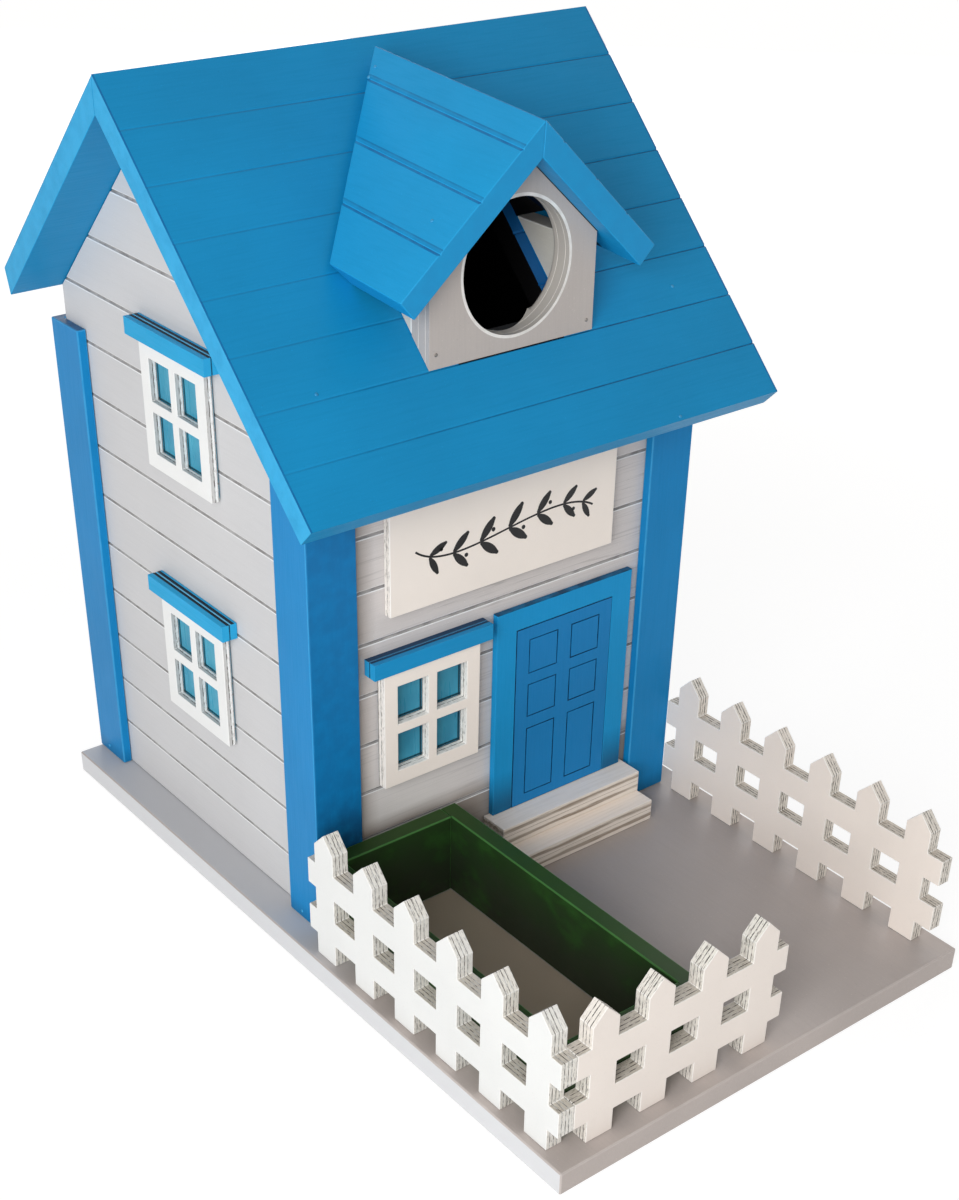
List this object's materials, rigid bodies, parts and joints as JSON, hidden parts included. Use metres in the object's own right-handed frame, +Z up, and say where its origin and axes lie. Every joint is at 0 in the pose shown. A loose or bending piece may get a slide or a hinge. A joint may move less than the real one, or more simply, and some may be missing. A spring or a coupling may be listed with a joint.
{
  "type": "bird nest box",
  "caption": "cottage shaped wooden nest box with a round dormer entrance, grooved roof, planter, picket fences and a hinged rear clean-out door",
  "frame": {"origin": "middle of the whole model's outline, at the underside of the base board", "axes": "+Z up, the door, dormer and fenced garden face -Y, +X is on the right as seen from the front"},
  "size_m": [0.2606, 0.41, 0.3843],
  "materials": {
    "base_grey": "grey paint on a wooden board, satin",
    "wall_grey": "light grey paint on grooved board, satin",
    "roof_blue": "blue paint on grooved board, satin",
    "trim_blue": "blue paint on wood, satin",
    "door_blue": "blue paint on thin plywood, satin",
    "pane_teal": "teal paint on thin plywood, satin",
    "white_paint": "white paint on plywood with bare cut edges",
    "sign_white": "white paint with a plain painted leaf sprig",
    "bare_plywood": "pale washed plywood",
    "planter_green": "dark green stained board",
    "zinc_steel": "zinc plated",
    "black_magnet": "matte"
  },
  "bodies": {
    "house": {"base_board": "base_grey", "front_wall": "wall_grey", "rear_wall": "wall_grey", "left_wall": "wall_grey", "right_wall": "wall_grey", "post_front_left": "trim_blue", "post_front_right": "trim_blue", "post_rear_left": "trim_blue", "post_rear_right": "trim_blue", "roof_front": "roof_blue", "roof_rear": "roof_blue", "dormer_front_board": "wall_grey", "dormer_cheek_left": "wall_grey", "dormer_cheek_right": "wall_grey", "dormer_roof_left": "roof_blue", "dormer_roof_right": "roof_blue", "window_front_pane": "pane_teal", "window_front_frame": "white_paint", "lintel_front": "trim_blue", "window_left_lower_pane": "pane_teal", "window_left_lower_frame": "white_paint", "lintel_left_lower": "trim_blue", "window_left_upper_pane": "pane_teal", "window_left_upper_frame": "white_paint", "lintel_left_upper": "trim_blue", "window_right_lower_pane": "pane_teal", "window_right_lower_frame": "white_paint", "lintel_right_lower": "trim_blue", "window_right_upper_pane": "pane_teal", "window_right_upper_frame": "white_paint", "lintel_right_upper": "trim_blue", "door_frame": "trim_blue", "door_slab": "door_blue", "step_lower": "bare_plywood", "step_upper": "bare_plywood", "sign_board": "sign_white", "planter_left": "planter_green", "planter_right": "planter_green", "planter_front": "planter_green", "planter_rear": "planter_green", "fence_left": "white_paint", "fence_front": "white_paint", "fence_right": "white_paint", "hinge_lower_wall_leaf": "zinc_steel", "hinge_lower_pin": "zinc_steel", "hinge_upper_wall_leaf": "zinc_steel", "hinge_upper_pin": "zinc_steel", "catch_magnet": "black_magnet"},
    "cleanout_door": {"cleanout_door": "wall_grey", "cleanout_knob": "trim_blue", "catch_plate": "zinc_steel", "hinge_lower_door_leaf": "zinc_steel", "hinge_upper_door_leaf": "zinc_steel"}
  },
  "joints": [
    {"name": "cleanout_swing", "type": "hinge", "parent": "house", "child": "cleanout_door", "pos_m": [0.062, 0.2022, 0.034], "axis": [0, 0, -1], "range_deg": [0, 110]}
  ]
}
